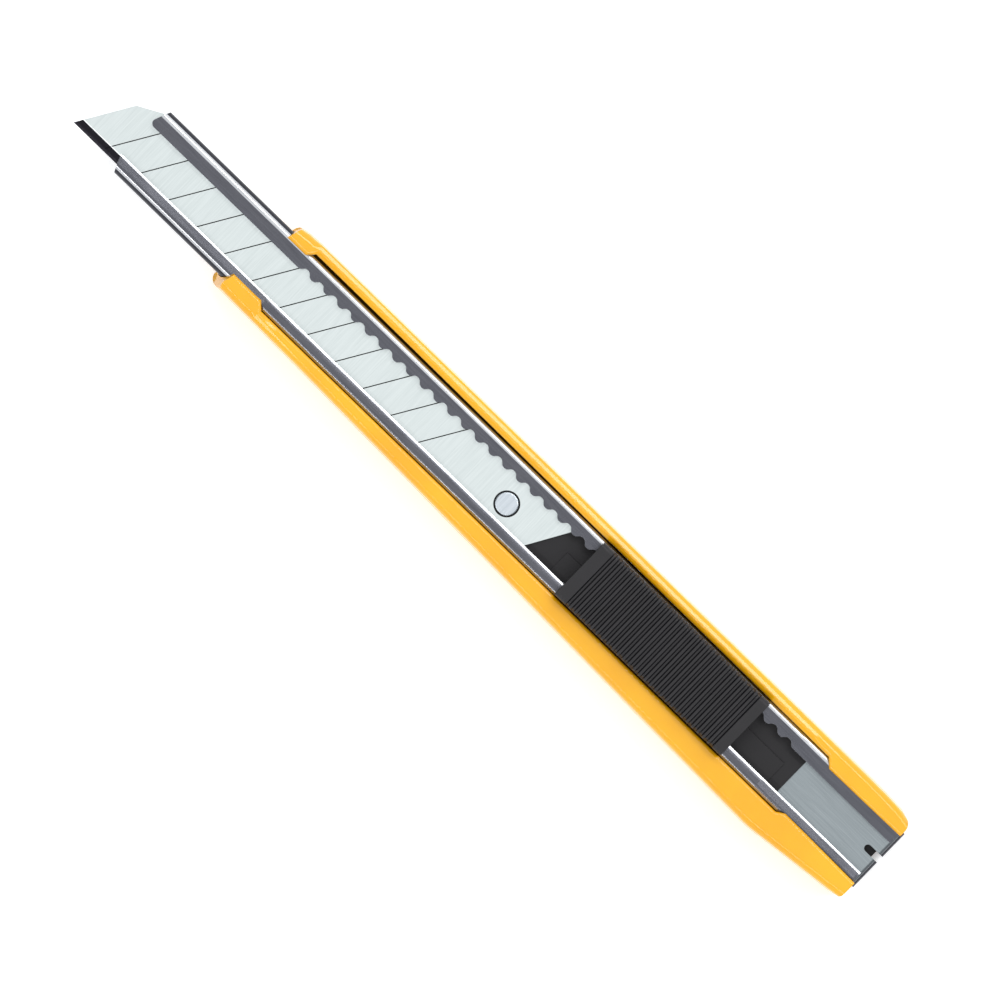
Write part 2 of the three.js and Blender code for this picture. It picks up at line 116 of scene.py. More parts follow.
camera_data = bpy.data.cameras.new("camera")
camera_data.lens = LENS
camera_data.sensor_width = SENSOR
camera = bpy.data.objects.new("camera", camera_data)
bpy.context.scene.collection.objects.link(camera)
camera_height = VIEW_WIDTH * LENS / SENSOR
camera.location = (AIM + Vector((0, 0, camera_height))) * MM
camera.rotation_euler = (0, 0, math.radians(180 + KNIFE_SLANT))
camera_data.clip_end = 10
bpy.context.scene.camera = camera
print("camera stands", round(camera_height), "mm above the lips")

# %% [markdown]
# ## Working by hand, in code
#
# The pieces are modelled with the same operators that the menus hold. Small helpers do what a hand
# and an eye would: begin() clears the selection and adds a primitive, pick() selects by place,
# trace() draws an outline by extruding one corner from point to point, and cut_across() slices the
# mesh with a plane.

# %% Helpers for the operators
def clear_selection():
    if bpy.context.object and bpy.context.object.mode != "OBJECT":
        bpy.ops.object.mode_set(mode="OBJECT")
    bpy.ops.object.select_all(action="DESELECT")


def begin(name, add_primitive, middle=(0, 0, 0), **settings):
    """Adds a primitive round its middle, in millimetres, and opens it in edit mode."""
    clear_selection()
    add_primitive(location=Vector(middle) * MM, **settings)
    piece = bpy.context.object
    piece.name = piece.data.name = name
    bpy.ops.object.transform_apply(location=True, rotation=True, scale=True)
    bpy.ops.object.mode_set(mode="EDIT")
    bpy.ops.mesh.select_mode(type="VERT")
    bpy.ops.mesh.select_all(action="SELECT")
    return piece


def begin_block(name, low, high):
    low, high = Vector(low), Vector(high)
    return begin(name, bpy.ops.mesh.primitive_cube_add, (low + high) / 2, size=1, scale=(high - low) * MM)


def pick(test, kind="VERT"):
    """Selects the vertices, edges or faces whose middle, in millimetres, passes the test."""
    bpy.ops.mesh.select_mode(type=kind)
    bpy.ops.mesh.select_all(action="DESELECT")
    mesh = bmesh.from_edit_mesh(bpy.context.edit_object.data)
    found = 0
    for part in {"VERT": mesh.verts, "EDGE": mesh.edges, "FACE": mesh.faces}[kind]:
        corners = [part.co] if kind == "VERT" else [v.co for v in part.verts]
        if test(sum(corners, Vector()) / len(corners) / MM):
            part.select_set(True)
            found += 1
    mesh.select_flush_mode()
    bmesh.update_edit_mesh(bpy.context.edit_object.data)
    return found


def near(value, target, slack=0.01):
    return abs(value - target) < slack


def shift(x=0.0, y=0.0, z=0.0):
    bpy.ops.transform.translate(value=Vector((x, y, z)) * MM)


def extrude(x=0.0, y=0.0, z=0.0):
    bpy.ops.mesh.extrude_region_move(TRANSFORM_OT_translate={"value": Vector((x, y, z)) * MM})


def trace(name, points, fill=True):
    """Draws an outline through the points: one corner, extruded from each to the next."""
    points = [Vector(point) for point in points]
    piece = begin(name, bpy.ops.mesh.primitive_plane_add, points[0], size=MM)
    bpy.ops.mesh.merge(type="CENTER")
    for start, end in zip(points, points[1:]):
        extrude(*(end - start))
    if fill:
        bpy.ops.mesh.select_all(action="SELECT")
        bpy.ops.mesh.edge_face_add()
    return piece


def arc(centre, radius, start, end, steps):
    """Points round part of a circle, angles in degrees, both ends included."""
    turns = [math.radians(start + (end - start) * i / steps) for i in range(steps + 1)]
    return [(centre[0] + radius * math.cos(t), centre[1] + radius * math.sin(t)) for t in turns]


def cut_across(point, normal, drop=False, fill=True):
    """Bisects the open mesh with a plane. Drop clears what lies beyond it, fill closes the cut."""
    bpy.ops.mesh.select_all(action="SELECT")
    bpy.ops.mesh.bisect(plane_co=Vector(point) * MM, plane_no=Vector(normal).normalized(),
                        use_fill=drop and fill, clear_outer=drop, threshold=1e-7)


# %% [markdown]
# Modifiers do what would be slow by hand: they thicken, repeat, cut and bevel a whole piece. Each
# one is applied at once, so the next operator works on plain faces. At the end hand_over() smooths
# a piece, gives it its finishes and ties it to the body that carries the measured part.

# %% Helpers for the modifiers
def use_modifier(piece, kind, **settings):
    """Adds a modifier, sets it and applies it."""
    clear_selection()
    bpy.context.view_layer.objects.active = piece
    piece.select_set(True)
    bpy.ops.object.modifier_add(type=kind)
    modifier = piece.modifiers[-1]
    for key, value in settings.items():
        setattr(modifier, key, value)
    bpy.ops.object.modifier_apply(modifier=modifier.name)


def cut_away(piece, cutter):
    """Takes the cutter's shape out of the piece and removes the cutter."""
    use_modifier(piece, "BOOLEAN", operation="DIFFERENCE", solver="MANIFOLD", object=cutter)
    bpy.data.objects.remove(cutter)


def soften(piece, width, segments=3, angle=30):
    """Rounds every edge sharper than the angle, as a mould's or a tumbler's radius does."""
    use_modifier(piece, "BEVEL", width=width * MM, segments=segments, limit_method="ANGLE",
                 angle_limit=math.radians(angle), use_clamp_overlap=True, harden_normals=False,
                 miter_outer="MITER_ARC")


def round_cutter(middle, radius, depth, vertices):
    """Adds a round bar to cut with, all in millimetres, and leaves it open in edit mode."""
    return begin("cutter", bpy.ops.mesh.primitive_cylinder_add, middle, radius=radius * MM,
                 depth=depth * MM, vertices=vertices)


def block_cutter(low, high):
    """Adds a block to cut with, from its low corner to its high one, in millimetres."""
    return begin_block("cutter", low, high)


def outward(piece, weld=0.0005):
    """Welds corners closer than the given millimetres and turns every face outward."""
    clear_selection()
    bpy.context.view_layer.objects.active = piece
    piece.select_set(True)
    bpy.ops.object.mode_set(mode="EDIT")
    bpy.ops.mesh.select_all(action="SELECT")
    bpy.ops.mesh.remove_doubles(threshold=weld * MM)
    bpy.ops.mesh.normals_make_consistent(inside=False)
    bpy.ops.object.mode_set(mode="OBJECT")


def trim_to_box(piece, node):
    """Draws back the few corners that a bevel pushed past the measured box."""
    low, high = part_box(node)
    moved = 0.0
    for vertex in piece.data.vertices:
        inside = Vector([min(max(c, a), b) for c, a, b in zip(vertex.co, low, high)])
        moved = max(moved, (inside - vertex.co).length)
        vertex.co = inside
    print(f"{piece.name}: drawn back by {moved / MM:.3f} mm at most")


def hand_over(piece, body, node, finishes, smooth=30):
    """Smooths the piece, gives it its finishes, and lets it ride in place of its measured part."""
    trim_to_box(piece, node)
    clear_selection()
    bpy.context.view_layer.objects.active = piece
    piece.select_set(True)
    bpy.ops.object.shade_smooth_by_angle(angle=math.radians(smooth))
    use_modifier(piece, "WEIGHTED_NORMAL", weight=100, thresh=0.0, keep_sharp=True)
    piece.data.materials.clear()
    for finish in finishes:
        piece.data.materials.append(finish)
    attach(piece, body)
    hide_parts(node)
    low, high = Vector(piece.bound_box[0]) / MM, Vector(piece.bound_box[6]) / MM
    print(f"{piece.name}: {len(piece.data.polygons)} faces, from",
          [round(v, 2) for v in low], "to", [round(v, 2) for v in high])


# %% [markdown]
# ## Finishes
#
# Every finish is a small tree of nodes on Object coordinates, which are the real metres of the
# piece, so each pattern's scale is a real size. add() adds one node with its settings and links,
# per_mm() turns the size of one blotch or grain into a noise scale, two_tone() runs a pattern from
# one colour to another, and dress() gives the shader its colour, roughness and bump.

# %% Helpers for the materials
def colour(code):
    """A hex sRGB colour as the linear colour that the nodes work in."""
    parts = [int(code[i:i + 2], 16) / 255 for i in (1, 3, 5)]
    linear = [p / 12.92 if p <= 0.04045 else ((p + 0.055) / 1.055) ** 2.4 for p in parts]
    return (*linear, 1.0)


def per_mm(size):
    return 1 / (size * MM)


def add(tree, kind, settings, links=()):
    """Adds a node. Settings are its own values or its sockets' values; links are (socket, source)."""
    node = tree.nodes.new(kind)
    for key, value in settings.items():
        if isinstance(key, str) and hasattr(node, key):
            setattr(node, key, value)
        else:
            node.inputs[key].default_value = value
    for socket, source in links:
        tree.links.new(node.inputs[socket], source)
    return node


def new_finish(name):
    """A material with a bare shader and the piece's real coordinates."""
    material = bpy.data.materials.new(name)
    material.use_nodes = True
    tree = material.node_tree
    tree.nodes.clear()
    shader = add(tree, "ShaderNodeBsdfPrincipled", {})
    add(tree, "ShaderNodeOutputMaterial", {}, [("Surface", shader.outputs["BSDF"])])
    place = add(tree, "ShaderNodeTexCoord", {}).outputs["Object"]
    return material, tree, shader, place


def two_tone(tree, pattern, start, dark, end, light):
    """A ramp on a noise, from a dark tone at its start value to a light one at its end value."""
    ramp = add(tree, "ShaderNodeValToRGB", {}, [("Fac", pattern.outputs["Fac"])])
    for element, value, code in zip(ramp.color_ramp.elements, (start, end), (dark, light)):
        element.position, element.color = value, colour(code)
    return ramp


def dress(tree, shader, tone, rough, bump):
    """Links the three things that make up a finish to its shader."""
    tree.links.new(shader.inputs["Base Color"], tone.outputs["Color"])
    tree.links.new(shader.inputs["Roughness"], rough.outputs["Result"])
    tree.links.new(shader.inputs["Normal"], bump.outputs["Normal"])


# %% [markdown]
# ### Yellow ABS, injection moulded
#
# The handle is glossy ABS: an index near 1.54, a roughness near 0.14 from a polished mould, colour
# all the way through. The eye sees a clean saturated yellow with faint cloudiness where fingers
# have rubbed it, and a very fine ripple in the highlights from the flow of the plastic.

# %% Yellow ABS
def yellow_abs():
    material, tree, shader, place = new_finish("moulded_yellow_abs")
    clouds = add(tree, "ShaderNodeTexNoise", {"Scale": per_mm(9), "Detail": 3.0}, [("Vector", place)])
    tint = two_tone(tree, clouds, 0.3, "#eea800", 0.7, "#f6b402")
    rubbed = add(tree, "ShaderNodeMapRange", {"To Min": 0.1, "To Max": 0.17},
                 [("Value", clouds.outputs["Fac"])])
    ripple = add(tree, "ShaderNodeTexNoise", {"Scale": per_mm(0.5), "Detail": 2.0}, [("Vector", place)])
    bump = add(tree, "ShaderNodeBump", {"Strength": 0.06, "Distance": 0.05 * MM},
               [("Height", ripple.outputs["Fac"])])
    dress(tree, shader, tint, rubbed, bump)
    shader.inputs["IOR"].default_value = 1.54
    return material


ABS_YELLOW = yellow_abs()

# %% [markdown]
# ### Rolled stainless strip
#
# The channel is cold-rolled stainless: metallic, roughness about 0.25, with fine lines along the
# rolling direction. A noise squeezed 40 times along X makes those lines; a slower cloud varies
# the roughness, as handling does.

# %% Stainless strip
def stainless_strip(name, dark, light):
    material, tree, shader, place = new_finish(name)
    along = add(tree, "ShaderNodeMapping", {"Scale": (0.025, 1.0, 1.0)}, [("Vector", place)])
    lines = add(tree, "ShaderNodeTexNoise", {"Scale": per_mm(0.12), "Detail": 4.0, "Roughness": 0.6},
                [("Vector", along.outputs["Vector"])])
    clouds = add(tree, "ShaderNodeTexNoise", {"Scale": per_mm(5), "Detail": 3.0}, [("Vector", place)])
    tone = two_tone(tree, lines, 0.25, dark, 0.75, light)
    rough = add(tree, "ShaderNodeMapRange", {"To Min": 0.16, "To Max": 0.3},
                [("Value", clouds.outputs["Fac"])])
    bump = add(tree, "ShaderNodeBump", {"Strength": 0.08, "Distance": 0.02 * MM},
               [("Height", lines.outputs["Fac"])])
    dress(tree, shader, tone, rough, bump)
    shader.inputs["Metallic"].default_value = 1.0
    return material


STAINLESS = stainless_strip("rolled_stainless_strip", "#a9abae", "#c9cbce")
# Three tones of the strip are painted light and shade: a dark reflection on the lips, the shade of its
# trough on the bed, and a near-black reflection on the steep outer sides and the bent end.
LIP_REFLECTION_PAINT = stainless_strip("stainless_lip_painted_dark_reflection", "#4e4f55", "#64656b")
BED_SHADE_PAINT = stainless_strip("stainless_bed_painted_trough_shade", "#868e91", "#969ea1")
SIDE_REFLECTION_PAINT = stainless_strip("stainless_side_painted_dark_reflection", "#303136", "#46474c")

# %% [markdown]
# ### Ground carbon steel
#
# The blade's flats are ground across their width and lightly oiled, which leaves a pale satin grey-green.
# The bevel is ground finer, and its colour is painted near black for the dark between the lights that it
# mirrors. A white line along the top of the bevel is a painted highlight, and the dark walls of the score
# grooves are painted shade.

# %% Blade steel
def ground_steel(name, dark, light, grain, low_rough, high_rough):
    material, tree, shader, place = new_finish(name)
    across = add(tree, "ShaderNodeMapping", {"Scale": (1.0, 0.03, 1.0)}, [("Vector", place)])
    lines = add(tree, "ShaderNodeTexNoise", {"Scale": per_mm(grain), "Detail": 3.0},
                [("Vector", across.outputs["Vector"])])
    oil = add(tree, "ShaderNodeTexNoise", {"Scale": per_mm(7), "Detail": 2.0}, [("Vector", place)])
    tone = two_tone(tree, lines, 0.2, dark, 0.8, light)
    rough = add(tree, "ShaderNodeMapRange", {"To Min": low_rough, "To Max": high_rough},
                [("Value", oil.outputs["Fac"])])
    bump = add(tree, "ShaderNodeBump", {"Strength": 0.05, "Distance": 0.01 * MM},
               [("Height", lines.outputs["Fac"])])
    dress(tree, shader, tone, rough, bump)
    shader.inputs["Metallic"].default_value = 1.0
    return material


BLADE_FLAT = ground_steel("ground_carbon_steel", "#c3cbca", "#d3dad9", 0.15, 0.26, 0.36)
# Painted dark reflection: the bevel's near-black colour stands in for the dark it mirrors.
BLADE_BEVEL_REFLECTION_PAINT = ground_steel("bevel_painted_dark_reflection", "#18171b", "#2b2a2f", 0.08, 0.18, 0.26)
# Painted highlight: a white line along the top of the bevel.
BLADE_LINE_HIGHLIGHT_PAINT = ground_steel("bevel_line_painted_highlight", "#eef2f2", "#fafcfc", 0.15, 0.2, 0.26)
# Painted shade: the dark walls of the score grooves.
BLADE_SCORE_SHADE_PAINT = ground_steel("score_groove_painted_shade", "#1d1e22", "#2e2f34", 0.08, 0.3, 0.4)
STUD_STEEL = ground_steel("turned_steel", "#b4bcc2", "#cdd4d9", 0.2, 0.22, 0.34)
SPRING_STEEL = ground_steel("hardened_spring_strip", "#8d8f94", "#a5a7ab", 0.2, 0.25, 0.35)

# %% [markdown]
# ### Black acetal and the black grip
#
# The slider plate is acetal, dense and slightly waxy, at an index of 1.48. The grip is the same
# black in a finely sparked mould. Both are near black with a roughness between 0.4 and 0.7, and
# dust and skin make it uneven.

# %% Black plastics
def black_plastic(name, dark, light, grain, low_rough, high_rough, depth):
    material, tree, shader, place = new_finish(name)
    spark = add(tree, "ShaderNodeTexNoise", {"Scale": per_mm(grain), "Detail": 3.0}, [("Vector", place)])
    dust = add(tree, "ShaderNodeTexNoise", {"Scale": per_mm(2.5), "Detail": 4.0}, [("Vector", place)])
    tone = two_tone(tree, dust, 0.35, dark, 0.8, light)
    rough = add(tree, "ShaderNodeMapRange", {"To Min": low_rough, "To Max": high_rough},
                [("Value", dust.outputs["Fac"])])
    bump = add(tree, "ShaderNodeBump", {"Strength": 0.2, "Distance": depth * MM},
               [("Height", spark.outputs["Fac"])])
    dress(tree, shader, tone, rough, bump)
    shader.inputs["IOR"].default_value = 1.48
    return material


CARRIER_BLACK = black_plastic("black_acetal", "#0d0b0f", "#151317", 0.3, 0.55, 0.7, 0.02)
# The grip's black is also painted into the handle's pocket as shade.
GRIP_BLACK_AND_POCKET_SHADE = black_plastic("black_grip_moulding_and_pocket_shade", "#0f0d11", "#171519", 0.15, 0.42, 0.56, 0.03)

# %% [markdown]
# ## The handle
#
# The handle is one moulding: a trough with round-bottomed sides, a window over the channel, and
# four tabs that reach over the channel's lips. Its section is the same kind of U all along, so it
# is drawn once at the tail and extruded forward from station to station. At each station the
# corners that differ are moved: the rims reach in for a tab, and the cutting side swells into the
# belly.

# %% Sizes of the handle
RIM_TOP = handle_high.z
NOSE_X, TAIL_X = handle_high.x, handle_low.x
BACK_Y = handle_low.y                # the straight side
BELLY_Y = handle_high.y - 0.02
GAP = 0.1                            # between the channel and the bore it slides into
KEEL = 2.0                           # rounding under each side
WINDOW_BACK, WINDOW_EDGE = 5.28, 4.95   # the window's rims, from the channel's axis
WALL_FOOT = 3.0                      # height where each side starts to lean
WALL_LEAN = 0.2                      # how far it leans in by the top
CROWN, CROWN_STEPS = 1.0, 7          # rounding between each side and the top
MARGIN, MARGIN_TILT = 0.38, 15.5     # width and fall in degrees of the margin beside that rounding
RIM_ROUND = 0.36                     # rounding of the rims over the channel
LEAST_TOP = 0.05                     # flat left on the top where a side is narrowest


def seat_height(offset):
    """Height of the bore's roof at a distance from the channel's axis."""
    beyond = max(abs(offset) - SHOULDER_Y, 0)
    return SHOULDER_Z + math.sqrt((SHOULDER + GAP) ** 2 - beyond ** 2)


def handle_side(sign, outer, rim):
    """One side's corners, from under the keel up the outside and down to the bore's foot."""
    flank = 0 if sign > 0 else 180
    keel = arc((outer - sign * KEEL, KEEL), KEEL, -90, -flank, 6)
    tilt = math.radians(MARGIN_TILT)
    room = abs(outer - rim) - WALL_LEAN - 2 * MARGIN - RIM_ROUND - LEAST_TOP
    crown = min(CROWN, room / (1 - math.sin(tilt)))
    shoulder = RIM_TOP - MARGIN * math.tan(tilt)
    crown_centre = (outer - sign * (WALL_LEAN + crown), shoulder - crown * math.cos(tilt))
    wall = [(outer, WALL_FOOT)] + arc(crown_centre, crown, flank, 90 - sign * MARGIN_TILT, CROWN_STEPS)
    wall.append((wall[-1][0] - sign * MARGIN, RIM_TOP))
    reach = abs(rim - AXIS_Y)
    wide = WINDOW_EDGE if sign > 0 else WINDOW_BACK
    if reach < wide - 0.01:                      # the rim stands over the lip and follows it
        knee = 0.5 * (reach + wide)
        roof, middle = seat_height(reach), seat_height(knee)
    else:                                        # the rim stands clear of the lip, straight up
        knee = reach
        roof, middle = seat_height(wide) + 0.6, seat_height(wide) + 0.3
    rim_centre = (rim + sign * RIM_ROUND, shoulder - RIM_ROUND * math.cos(tilt))
    inner = arc(rim_centre, RIM_ROUND, 90 + sign * MARGIN_TILT, 180 - flank, 4)
    inner.insert(0, (inner[0][0] + sign * 0.7 * MARGIN, RIM_TOP))
    inner += [(rim, roof), (AXIS_Y + sign * knee, middle)]
    top = math.degrees(math.acos((wide - SHOULDER_Y) / (SHOULDER + GAP)))
    foot = -math.degrees(math.asin((ROLL_Z - CHANNEL_BOTTOM) / (ROLL + GAP)))
    bore = arc((SHOULDER_Y, SHOULDER_Z), SHOULDER + GAP, top, 0, 4)
    bore += arc((ROLL_Y, ROLL_Z), ROLL + GAP, 0, foot, 4)
    return keel + wall + inner + [(AXIS_Y + sign * across, up) for across, up in bore]


def handle_section(x, back, edge, back_rim, edge_rim):
    edge_side = handle_side(1, edge, AXIS_Y + edge_rim)
    back_side = handle_side(-1, back, AXIS_Y - back_rim)
    return [Vector((x, y, z)) for y, z in edge_side + back_side[::-1]]


# %% [markdown]
# Each station says how far along it is, where the two outer sides stand there, and how far the rims
# stand from the channel's axis: about 4 mm under a tab and about 5 mm along the window. After each
# extrusion the new corners lie where the old ones did, so only the ones that differ are moved.

# %% Draw the section and extrude it from station to station
def handle_stations():
    """Along, back side, cutting side, and the rims' reach from the axis on each side."""
    return [
        (TAIL_X, BACK_Y + 0.5, BELLY_Y - 1.64, 3.95, 4.46),
        (TAIL_X + 2.0, BACK_Y + 0.2, BELLY_Y - 1.42, 3.92, 4.42),
        (TAIL_X + 5.0, BACK_Y + 0.05, BELLY_Y - 1.1, 3.88, 4.36),
        (TAIL_X + 8.5, BACK_Y, BELLY_Y - 0.72, 3.84, 4.3),
        (TAIL_X + 12.65, BACK_Y, BELLY_Y - 0.27, 3.8, 4.26),
        (TAIL_X + 13.75, BACK_Y, BELLY_Y - 0.13, WINDOW_BACK - 0.4, WINDOW_EDGE),
        (TAIL_X + 14.9, BACK_Y, BELLY_Y - 0.03, WINDOW_BACK - 0.4, WINDOW_EDGE),
        (TAIL_X + 15.9, BACK_Y, BELLY_Y, WINDOW_BACK - 0.39, WINDOW_EDGE),
        (TAIL_X + 17.0, BACK_Y, BELLY_Y - 0.02, WINDOW_BACK - 0.38, WINDOW_EDGE),
        (NOSE_X - 16.0, BACK_Y, BELLY_Y - 2.04, WINDOW_BACK - 0.04, WINDOW_EDGE),
        (NOSE_X - 8.1, BACK_Y + 0.02, BELLY_Y - 2.18, WINDOW_BACK - 0.02, WINDOW_EDGE),
        (NOSE_X - 7.15, BACK_Y + 0.06, BELLY_Y - 2.2, 4.24, 3.95),
        (NOSE_X - 5.7, BACK_Y + 0.12, BELLY_Y - 2.22, 4.24, 3.95),
        (NOSE_X, BACK_Y + 0.3, BELLY_Y - 2.3, 4.24, 3.95),
    ]


def move_corner(place, offset):
    """Moves the one vertex at a place, in millimetres."""
    if offset.length > 0.0005:
        pick(lambda p: (p - place).length < 0.002)
        shift(*offset)


stations = handle_stations()
section = handle_section(*stations[0])
handle = trace("handle_moulding", section)
for station in stations[1:]:
    advance = station[0] - section[0].x
    pick(lambda p: near(p.x, section[0].x), "FACE")
    extrude(x=advance)
    arrived = [corner + Vector((advance, 0, 0)) for corner in section]
    section = handle_section(*station)
    for old, new in zip(arrived, section):
        move_corner(old, new - old)
print("handle section has", len(section), "corners at", len(stations), "stations")

# %% [markdown]
# Each end of the trough is one large U-shaped face. Once its corners move out of its plane it would
# fold, so an edge is drawn across it on both sides, from the keel to the foot of the bore.

# %% Split both end faces into a floor and two sides
foot_y = ROLL_Y + math.sqrt((ROLL + GAP) ** 2 - (ROLL_Z - CHANNEL_BOTTOM) ** 2)
for x, back, edge, _, _ in (stations[0], stations[-1]):
    for keel_y, bore_y in ((edge - KEEL, AXIS_Y + foot_y), (back + KEEL, AXIS_Y - foot_y)):
        ends = [Vector((x, keel_y, 0)), Vector((x, bore_y, CHANNEL_BOTTOM))]
        pick(lambda p: min((p - end).length for end in ends) < 0.01)
        bpy.ops.mesh.vert_connect_path()
print("end faces split at y =", round(AXIS_Y - foot_y, 2), "and", round(AXIS_Y + foot_y, 2))

# %% [markdown]
# Both ends are rounded in plan by drawing back the corners near the outer sides. The nose is also
# raked: its foot stands further forward than its rims, and the cutting side further forward than the
# back. Only the corners of the first and the last station move.

# %% Round both ends and rake the nose
NOSE_STEP = 3.45      # how much shorter the back side's nose is
RAKE_EDGE, RAKE_BACK = 1.95, 0.85
TAIL_ROUND_BACK, TAIL_ROUND_EDGE = 1.5, 0.8
NOSE_ROUND_BACK, NOSE_ROUND_EDGE = 1.1, 1.3


def draw_back(corner, outer, radius):
    """How far an end stands back at a corner, for an outline rounded in plan."""
    inside = min(abs(corner.y - outer), radius)
    return radius - math.sqrt(radius ** 2 - (radius - inside) ** 2)


_, tail_back, tail_edge, _, _ = stations[0]
for corner in handle_section(*stations[0]):
    if corner.y > AXIS_Y:
        setback = draw_back(corner, tail_edge, TAIL_ROUND_EDGE)
    else:
        setback = draw_back(corner, tail_back, TAIL_ROUND_BACK)
    move_corner(corner, Vector((setback, 0, 0)))

_, nose_back, nose_edge, _, _ = stations[-1]
half_bore = HALF_WIDTH + GAP
for corner in section:
    across = (AXIS_Y + half_bore - corner.y) / (2 * half_bore)
    setback = NOSE_STEP * min(max(across, 0), 1)
    rise = max(corner.z - CHANNEL_BOTTOM, 0) / (RIM_TOP - CHANNEL_BOTTOM)
    if corner.y > AXIS_Y:
        setback += RAKE_EDGE * rise + draw_back(corner, nose_edge, NOSE_ROUND_EDGE)
    else:
        setback += RAKE_BACK * rise + draw_back(corner, nose_back, NOSE_ROUND_BACK)
    move_corner(corner, Vector((-setback, 0, 0)))
bpy.ops.object.mode_set(mode="OBJECT")
outward(handle)
soften(handle, 0.25, 3, 60)
outward(handle, 0.02)
print("handle has", len(handle.data.polygons), "faces with its edges rounded")

# %% [markdown]
# Under each tab the mould's core came up through the floor and left an opening, and at the tail the floor
# stops short so that the channel's end can turn down over it. These are cut last, with plain blocks,
# because their edges are sharp on the real moulding too. The pocket under the channel's slot is painted
# black, as the deep shade under the slot.

# %% Cut the core openings and the tail
DEEP = 20.0                          # longer than any cut has to be
BELOW, ABOVE = -1.0, CHANNEL_BOTTOM + 1.0
OVER_FLOOR = CHANNEL_BOTTOM + 0.4
POCKET_FLOOR = 0.9
axis = Vector((0, AXIS_Y, 0))
openings = {
    "nose, back": ((NOSE_X - 6.935, -5.3, BELOW), (NOSE_X - 4.935, -4.1, ABOVE)),
    "nose, cutting side": ((NOSE_X - 7.035, 3.8, BELOW), (NOSE_X - 3.135, 5.1, ABOVE)),
    "tail, back": ((TAIL_X + 3.7, -5.3, BELOW), (TAIL_X + 12.5, -3.9, ABOVE)),
    "tail, cutting side": ((TAIL_X + 3.7, 4.1, BELOW), (TAIL_X + 12.6, 5.1, ABOVE)),
    "channel's end": ((TAIL_X - DEEP, -4.85, BELOW), (TAIL_X + 0.45, 5.25, OVER_FLOOR)),
    "pocket": ((TAIL_X - DEEP, -0.6, POCKET_FLOOR), (TAIL_X + 2.6, 0.7, OVER_FLOOR)),
}
for low, high in openings.values():
    cut_away(handle, block_cutter(Vector(low) + axis, Vector(high) + axis))
outward(handle)
print("cut for:", ", ".join(openings))
hand_over(handle, "knife_body", "handle", [ABS_YELLOW, GRIP_BLACK_AND_POCKET_SHADE], 35)
# Faces in the pocket below the slot take the black as painted shade.
for face in handle.data.polygons:
    place = face.center / MM - Vector((TAIL_X, AXIS_Y, 0))
    in_pocket = place.x < 2.61 and -0.61 < place.y < 0.71
    if in_pocket and 0.5 < place.z < CHANNEL_BOTTOM - 0.02:
        face.material_index = 1

# %% [markdown]
# ## The channel
#
# The channel is one strip of stainless, rolled into a C, with its wavy click edge stamped before
# rolling. The strip's outer skin is drawn first, with no thickness: one click of it is made with
# its wave, an array repeats it, and plain stretches are extruded from both ends. Solidify then
# gives it the thickness of the sheet all over, and a small bevel breaks the sheared edges.

# %% Sizes of the channel
CLICK_PITCH = 2.48
CLICK_COUNT = 36
CLICK_DEPTH = 0.62
CLICK_STEPS = 12
CLICK_START = channel_high.x - 26.6  # where the wave begins, behind the mouth
LIP_DROP = 0.26
WAVY_LIP = 2.42
PLAIN_LIP = 2.98
# The plain lip's inner margin is left out of the lip's painted dark reflection and keeps the plain
# stainless colour.
LIP_SHINE, LIP_RISE = 0.27, 0.085    # width and rise of the polished margin of the plain lip
LIP_SLOPE = LIP_DROP / (SHOULDER_Y - WAVY_LIP)
FLANGE_BACK, FLANGE_EDGE = AXIS_Y - 4.6, AXIS_Y + 5.0
BEND = 0.45                          # inside radius of the downturned end
BEND_LEAD = 0.04                     # the short flat where the bed widens before it bends
FLAT_INSET = 0.3                     # an extra corner beside each roll keeps the bed flat


def click_depth(x):
    """How far the wavy edge is cut back: a wave with flattened crests and valleys."""
    turn = 2 * math.pi * (CLICK_START - x) / CLICK_PITCH
    return CLICK_DEPTH * (0.5 - 0.5 * math.tanh(1.4 * math.cos(turn)) / math.tanh(1.4))


# %% [markdown]
# The wave is not cut but moved: each short step of the strip's lip gets its corner drawn back by the
# wave's depth there and lowered along the lip's slope, so the lip stays one clean plane. One click
# of 12 steps is enough, because an array with merged ends repeats it without a seam.

# %% Draw one click of the strip and repeat it
hinge_line = SHOULDER_Y - 0.5        # the wave reshapes only the lip inside this
skin = [(-WAVY_LIP, CHANNEL_TOP - LIP_DROP), (-hinge_line, CHANNEL_TOP - LIP_SLOPE * 0.5)]
skin += arc((-SHOULDER_Y, SHOULDER_Z), SHOULDER, 90, 180, 10)
skin += arc((-ROLL_Y, ROLL_Z), ROLL, 180, 270, 8)
skin += [(FLAT_INSET - ROLL_Y, CHANNEL_BOTTOM), (ROLL_Y - FLAT_INSET, CHANNEL_BOTTOM)]
skin += arc((ROLL_Y, ROLL_Z), ROLL, -90, 0, 8)
skin += arc((SHOULDER_Y, SHOULDER_Z), SHOULDER, 0, 90, 10)
skin += [(PLAIN_LIP + LIP_SHINE, CHANNEL_TOP - LIP_DROP + LIP_RISE), (PLAIN_LIP, CHANNEL_TOP - LIP_DROP)]
channel = trace("channel_strip", [(CLICK_START, AXIS_Y + y, z) for y, z in skin], fill=False)
step = CLICK_PITCH / CLICK_STEPS
depth = 0.0
for i in range(1, CLICK_STEPS + 1):
    x = CLICK_START - i * step
    pick(lambda p: near(p.x, x + step), "EDGE")
    extrude(x=-step)
    deeper = click_depth(x) - depth
    pick(lambda p: near(p.x, x) and near(p.y, AXIS_Y - WAVY_LIP - depth) and p.z > ROLL_Z)
    shift(y=-deeper, z=LIP_SLOPE * deeper)
    depth += deeper
bpy.ops.object.mode_set(mode="OBJECT")
